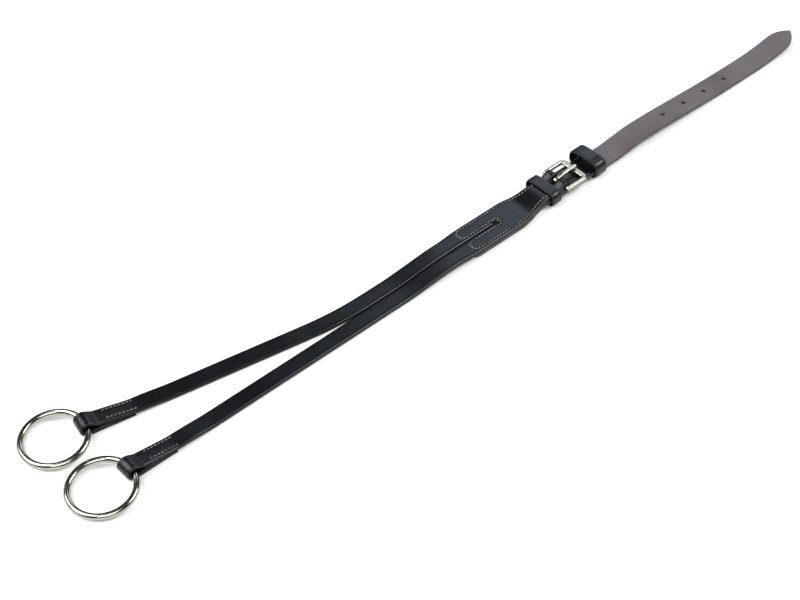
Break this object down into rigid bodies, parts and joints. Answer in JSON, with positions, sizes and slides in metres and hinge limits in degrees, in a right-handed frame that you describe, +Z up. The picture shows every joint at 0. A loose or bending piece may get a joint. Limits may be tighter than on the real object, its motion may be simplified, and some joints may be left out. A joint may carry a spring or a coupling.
{
  "type": "martingale fork attachment",
  "caption": "Flat black leather martingale attachment: a buckled strap that forks into two narrow branches, each ending in a sewn loop that holds a round metal rein ring.",
  "frame": {"origin": "on the lining's flat underside, on the centre line of the fork, 45 mm behind the axis of the buckle's bar", "axes": "+X along the strap from the rings to the billet's tip, +Y towards the left branch, +Z up from the surface it lies on"},
  "size_m": [0.6816, 0.0983, 0.0136],
  "materials": {
    "black_leather": "satin dyed grain side with burnished edges",
    "flesh_leather": "matt grey-brown flesh side, sealed edges",
    "nickel_steel": "polished nickel",
    "ring_steel": "polished stainless steel wire",
    "linen_thread": "waxed grey thread"
  },
  "bodies": {
    "fork": {"fork_strap": "black_leather", "lining_strap": "flesh_leather", "buckle_safe": "black_leather", "rear_keeper": "black_leather", "front_keeper": "black_leather", "safe_seam": "linen_thread", "left_fork_seam": "linen_thread", "right_fork_seam": "linen_thread"},
    "left_branch": {"left_branch_strap": "black_leather", "left_loop_seam_outer": "linen_thread", "left_loop_seam_inner": "linen_thread"},
    "right_branch": {"right_branch_strap": "black_leather", "right_loop_seam_outer": "linen_thread", "right_loop_seam_inner": "linen_thread"},
    "left_rein_ring": {"left_ring": "ring_steel"},
    "right_rein_ring": {"right_ring": "ring_steel"},
    "buckle": {"buckle_frame": "nickel_steel"},
    "tongue": {"buckle_tongue": "nickel_steel"},
    "billet": {"billet_strap": "flesh_leather"}
  },
  "joints": [
    {"name": "left_branch_bend", "type": "hinge", "parent": "fork", "child": "left_branch", "pos_m": [-0.062, 0.00645, 0.0046], "axis": [0, 1, 0], "range_deg": [-60, 90]},
    {"name": "right_branch_bend", "type": "hinge", "parent": "fork", "child": "right_branch", "pos_m": [-0.062, -0.00645, 0.0046], "axis": [0, 1, 0], "range_deg": [-60, 90]},
    {"name": "left_ring_swing", "type": "hinge", "parent": "left_branch", "child": "left_rein_ring", "pos_m": [-0.33241, 0.04094, 0.00565], "axis": [0.1891, 0.982, 0], "range_deg": [-85, 95]},
    {"name": "right_ring_swing", "type": "hinge", "parent": "right_branch", "child": "right_rein_ring", "pos_m": [-0.3325, -0.00645, 0.00565], "axis": [0, 1, 0], "range_deg": [-85, 95]},
    {"name": "buckle_swing", "type": "hinge", "parent": "fork", "child": "buckle", "pos_m": [0.045, 0, 0.00888], "axis": [0, -1, 0], "range_deg": [0, 45]},
    {"name": "tongue_swing", "type": "hinge", "parent": "buckle", "child": "tongue", "pos_m": [0.045, 0, 0.00888], "axis": [0, -1, 0], "range_deg": [0, 80]},
    {"name": "billet_bend", "type": "hinge", "parent": "fork", "child": "billet", "pos_m": [0.102, 0, 0.0033], "axis": [0, -1, 0], "range_deg": [-60, 90]}
  ]
}
